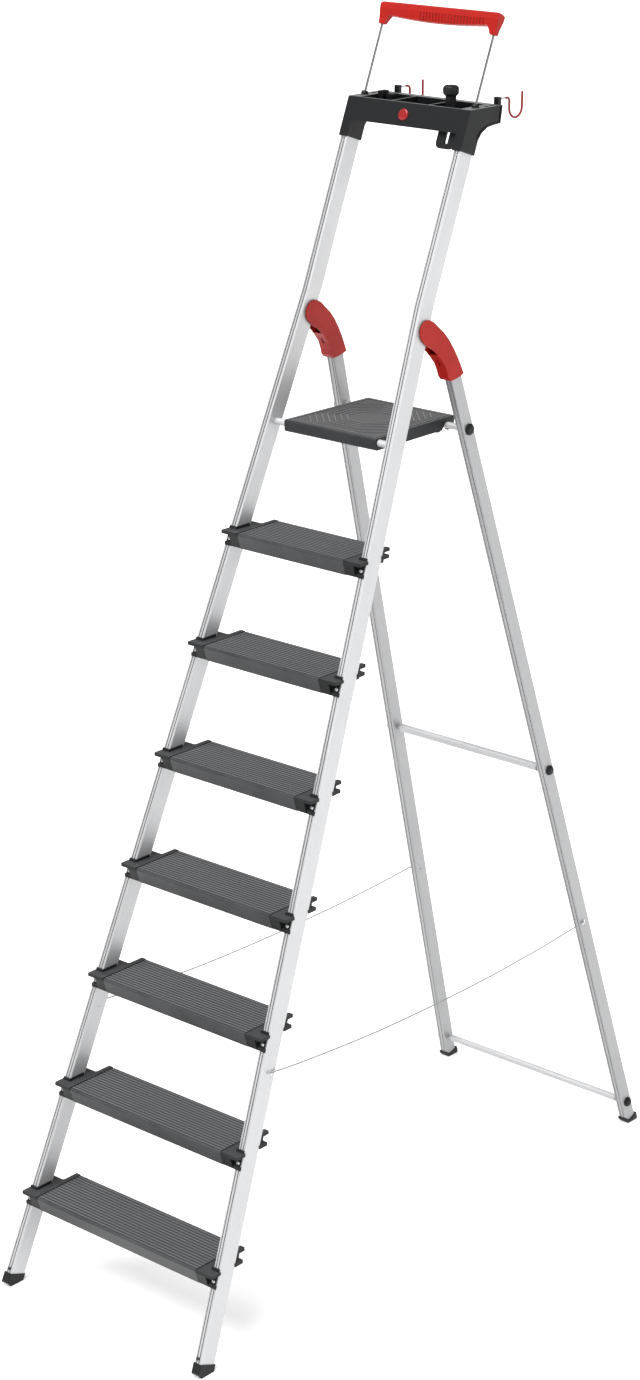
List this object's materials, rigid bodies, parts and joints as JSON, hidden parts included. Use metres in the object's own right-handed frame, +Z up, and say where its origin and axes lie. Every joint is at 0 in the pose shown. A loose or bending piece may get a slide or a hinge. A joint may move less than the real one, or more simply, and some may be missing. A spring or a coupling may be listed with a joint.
{
  "type": "platform step ladder",
  "caption": "Folding aluminium step ladder with wide treads, a lift-up standing platform, a tool tray with swivelling bucket hooks and a pull-out grab handle.",
  "frame": {"origin": "on the floor, at the middle of the opened ladder's footprint", "axes": "+Z up, +Y from the climber's side towards the rear legs, +X to the right of a climber who faces the treads"},
  "size_m": [0.566, 1.4926, 2.5536],
  "materials": {
    "aluminium": "anodised, fine lengthwise extrusion lines",
    "tread_aluminium": "dark grey coated extrusion with lengthwise anti-slip ridges",
    "black_plastic": "moulded, finely textured",
    "red_plastic": "moulded, satin",
    "red_coated_wire": "dipped coating over steel wire",
    "steel": "zinc plated, drawn",
    "dark_screw_steel": "blackened screw heads",
    "grey_plastic": "moulded, raised grip pattern",
    "cord": "braided nylon"
  },
  "bodies": {
    "front_frame": {"rail_left": "aluminium", "rail_right": "aluminium", "tread_1": "tread_aluminium", "tread_2": "tread_aluminium", "tread_3": "tread_aluminium", "tread_4": "tread_aluminium", "tread_5": "tread_aluminium", "tread_6": "tread_aluminium", "tread_7": "tread_aluminium", "cap_left_1": "black_plastic", "cap_left_2": "black_plastic", "cap_left_3": "black_plastic", "cap_left_4": "black_plastic", "cap_left_5": "black_plastic", "cap_left_6": "black_plastic", "cap_left_7": "black_plastic", "cap_right_1": "black_plastic", "cap_right_2": "black_plastic", "cap_right_3": "black_plastic", "cap_right_4": "black_plastic", "cap_right_5": "black_plastic", "cap_right_6": "black_plastic", "cap_right_7": "black_plastic", "tread_rivets": "steel", "front_foot_left": "black_plastic", "front_foot_right": "black_plastic", "front_foot_studs": "dark_screw_steel", "front_axle": "aluminium", "pivot_pins": "steel", "cord_eyes_front": "steel", "tray": "black_plastic", "tray_badge": "red_plastic", "tray_peg": "black_plastic", "tray_clip": "black_plastic", "tray_loop": "black_plastic", "tray_rivets": "steel", "rod_collars": "black_plastic", "cord_left": "cord", "cord_right": "cord"},
    "rear_frame": {"leg_left": "aluminium", "leg_right": "aluminium", "hinge_cover_left": "red_plastic", "hinge_cover_right": "red_plastic", "rear_axle": "aluminium", "upper_bar": "aluminium", "lower_bar": "aluminium", "bar_caps": "black_plastic", "rear_foot_left": "black_plastic", "rear_foot_right": "black_plastic", "cord_eyes_rear": "steel"},
    "platform_body": {"platform": "grey_plastic", "platform_shoes": "black_plastic"},
    "handle": {"handle_rods": "steel", "grip": "red_plastic"},
    "bucket_hook_left": {"hook_pin_left": "steel", "hook_left": "red_coated_wire"},
    "bucket_hook_right": {"hook_pin_right": "steel", "hook_right": "red_coated_wire"}
  },
  "joints": [
    {"name": "rear_fold", "type": "hinge", "parent": "front_frame", "child": "rear_frame", "pos_m": [0, 0.08211, 1.951], "axis": [-1, 0, 0], "range_deg": [0, 38.5], "deforming": ["cord_left", "cord_right"]},
    {"name": "platform_lift", "type": "hinge", "parent": "front_frame", "child": "platform_body", "pos_m": [0, -0.01789, 1.7375], "axis": [1, 0, 0], "range_deg": [0, 67.4]},
    {"name": "handle_slide", "type": "slide", "parent": "front_frame", "child": "handle", "axis": [0, 0.377, 0.9262], "range_m": [-0.115, 0]},
    {"name": "hook_left_turn", "type": "hinge", "parent": "front_frame", "child": "bucket_hook_left", "pos_m": [-0.11, 0.33911, 2.383], "axis": [0, 1, 0], "range_deg": [-90, 90]},
    {"name": "hook_right_turn", "type": "hinge", "parent": "front_frame", "child": "bucket_hook_right", "pos_m": [0.148, 0.33911, 2.383], "axis": [0, 1, 0], "range_deg": [-90, 90]}
  ],
  "couplings": [
    {"joint": "platform_lift", "follows": "rear_fold", "ratio": 1.75}
  ]
}
